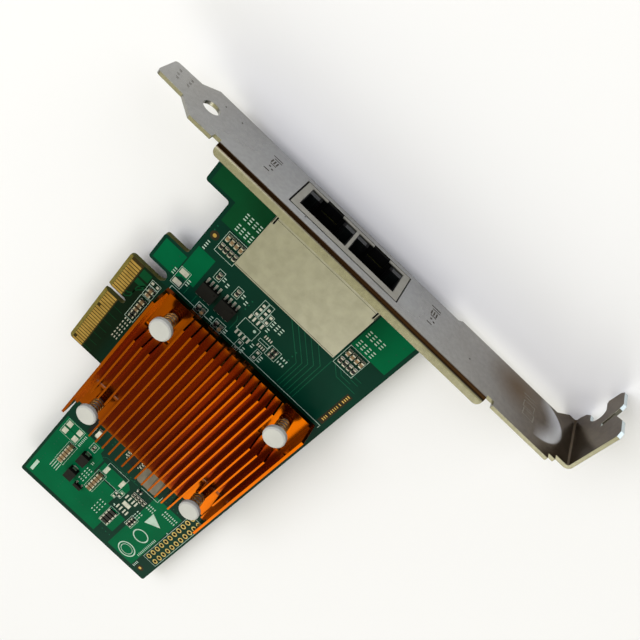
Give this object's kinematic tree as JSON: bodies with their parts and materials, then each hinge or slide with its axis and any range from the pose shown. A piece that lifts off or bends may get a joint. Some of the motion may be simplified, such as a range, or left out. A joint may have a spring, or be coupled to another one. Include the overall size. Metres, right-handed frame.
{
  "type": "network interface card",
  "caption": "Full-height expansion card with a twin cable jack behind a steel bracket, a finned orange heatsink on push pins and a keyed edge connector.",
  "frame": {"origin": "middle of the key slot on the connector's bottom edge, in the component side's surface", "axes": "+X along the card away from the bracket, +Y away from the edge contacts, +Z out of the component side"},
  "size_m": [0.1523, 0.1198, 0.0218],
  "materials": {
    "board_laminate": "green solder mask over glass laminate",
    "contact_gold": "gold plated",
    "bracket_steel": "plated sheet, satin",
    "screw_steel": "satin",
    "shield_steel": "plated sheet, satin",
    "jack_plastic": "moulded",
    "pipe_plastic": "smoked",
    "solder_tin": "tinned",
    "sink_aluminium": "orange anodised",
    "pad_rubber": "soft",
    "chip_plastic": "moulded",
    "nylon": "off-white nylon",
    "spring_steel": "bright wire",
    "inductor_ferrite": "moulded powder",
    "capacitor_ceramic": "fired",
    "resistor_film": "glazed",
    "fuse_ceramic": "white, fired"
  },
  "bodies": {
    "root": {"circuit_board": "board_laminate", "edge_contacts_component_side": "contact_gold", "edge_contacts_solder_side": "contact_gold", "header_plated_holes": "contact_gold", "io_bracket": "bracket_steel", "bracket_screws": "screw_steel", "jack_shield": "shield_steel", "jack_housing": "jack_plastic", "jack_light_pipes": "pipe_plastic", "jack_contacts": "contact_gold", "jack_magnetics": "jack_plastic", "jack_solder_pins": "solder_tin", "heatsink": "sink_aluminium", "push_pins": "nylon", "push_pin_springs": "spring_steel", "network_controller": "chip_plastic", "thermal_pad": "pad_rubber", "memory_chips": "chip_plastic", "memory_chip_leads": "solder_tin", "regulator_chip": "chip_plastic", "regulator_chip_leads": "solder_tin", "power_inductor": "inductor_ferrite", "power_inductor_terminals": "solder_tin", "rectifier_diodes": "chip_plastic", "rectifier_diode_leads": "solder_tin", "transistor": "chip_plastic", "transistor_leads": "solder_tin", "filter_block": "chip_plastic", "large_ceramic_capacitors": "capacitor_ceramic", "large_ceramic_capacitors_ends": "solder_tin", "small_ceramic_capacitors": "capacitor_ceramic", "small_ceramic_capacitors_ends": "solder_tin", "chip_resistors": "resistor_film", "chip_resistors_ends": "solder_tin", "power_resistors": "resistor_film", "power_resistors_ends": "solder_tin", "ceramic_fuse": "fuse_ceramic", "ceramic_fuse_ends": "solder_tin"}
  },
  "joints": []
}
